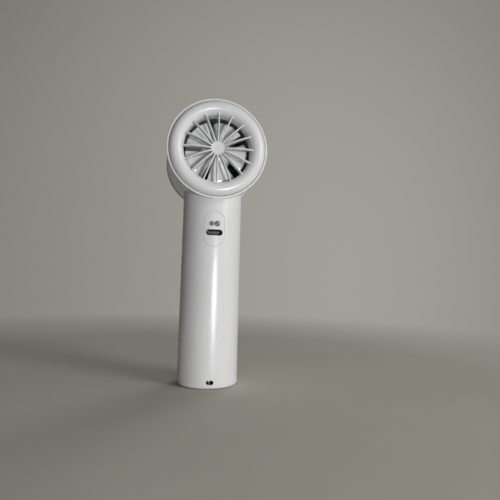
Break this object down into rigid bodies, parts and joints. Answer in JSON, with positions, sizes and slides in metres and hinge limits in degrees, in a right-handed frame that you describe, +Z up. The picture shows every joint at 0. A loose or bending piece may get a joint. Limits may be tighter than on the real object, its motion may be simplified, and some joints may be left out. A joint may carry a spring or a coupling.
{
  "type": "handheld fan",
  "caption": "Round upright handle carrying a short drum with a finned air intake, a turbine impeller and a charging port.",
  "frame": {"origin": "centre of the flat base, on the surface the fan stands on", "axes": "+Z up the handle to the top of the head; -Y out of the air intake, the side with the charging port; +Y the way the air blows; +X to the right when looking at the intake"},
  "size_m": [0.0546, 0.0472, 0.1566],
  "materials": {
    "housing_white": "satin-gloss moulded ABS",
    "impeller_white": "polished moulded plastic",
    "button_white": "satin",
    "trim_grey": "satin",
    "duct_dark": "fine matt",
    "carrier_grey": "matt",
    "port_black": "matt",
    "black_plastic": "matt",
    "lead_red": "soft PVC",
    "lead_black": "soft PVC",
    "light_clear": "clear acrylic",
    "port_steel": "dark nickel plate",
    "screw_steel": "zinc plate",
    "motor_steel": "ground",
    "magnet_ferrite": "matt",
    "motor_brass": "turned",
    "coil_copper": "enamelled copper wire",
    "board_green": "solder mask",
    "capacitor_aluminium": "drawn can",
    "tab_nickel": "nickel strip",
    "cell_wrap": "shrink wrap",
    "seal_rubber": "foam rubber"
  },
  "bodies": {
    "fan_body": {"main_housing": "housing_white", "intake_cover": "housing_white", "outlet_cover": "housing_white", "port_panel": "housing_white", "base_cap": "housing_white", "button_bezel": "trim_grey", "duct_stator": "duct_dark", "battery_carrier": "carrier_grey", "port_tongue": "port_black", "controller_chip": "black_plastic", "key_switch": "black_plastic", "battery_lead_red": "lead_red", "motor_lead_1": "lead_red", "battery_lead_black": "lead_black", "motor_lead_2": "lead_black", "light_pipe_left": "light_clear", "light_pipe_right": "light_clear", "charge_led_left": "light_clear", "charge_led_right": "light_clear", "port_shell": "port_steel", "base_screw_1": "screw_steel", "base_screw_2": "screw_steel", "duct_screw_1": "screw_steel", "duct_screw_2": "screw_steel", "duct_screw_3": "screw_steel", "duct_screw_4": "screw_steel", "motor_screw_1": "screw_steel", "motor_screw_2": "screw_steel", "motor_screw_3": "screw_steel", "main_board_screw_1": "screw_steel", "main_board_screw_2": "screw_steel", "key_board_screw_1": "screw_steel", "key_board_screw_2": "screw_steel", "lanyard_bar": "screw_steel", "bearing_front": "motor_steel", "bearing_rear": "motor_steel", "stator_core": "motor_steel", "boost_inductor": "magnet_ferrite", "motor_base": "motor_brass", "stator_coil_1": "coil_copper", "stator_coil_2": "coil_copper", "stator_coil_3": "coil_copper", "stator_coil_4": "coil_copper", "stator_coil_5": "coil_copper", "stator_coil_6": "coil_copper", "main_board": "board_green", "key_board": "board_green", "motor_board": "board_green", "storage_capacitor": "capacitor_aluminium", "battery_tab_bottom": "tab_nickel", "battery_tab_top": "tab_nickel", "battery_cell": "cell_wrap", "intake_seal": "seal_rubber"},
    "rotor": {"impeller": "impeller_white", "rotor_bell": "motor_steel", "magnet_ring": "magnet_ferrite", "motor_shaft": "motor_steel", "shaft_clip": "screw_steel"},
    "button": {"power_button": "button_white", "key_plunger": "black_plastic"}
  },
  "joints": [
    {"name": "impeller_spin", "type": "hinge", "parent": "fan_body", "child": "rotor", "pos_m": [0, 0, 0.1293], "axis": [0, 1, 0], "continuous": true},
    {"name": "button_press", "type": "slide", "parent": "fan_body", "child": "button", "axis": [0, -1, 0], "range_m": [0, 0.0005], "stiffness_N_per_m": 900}
  ]
}
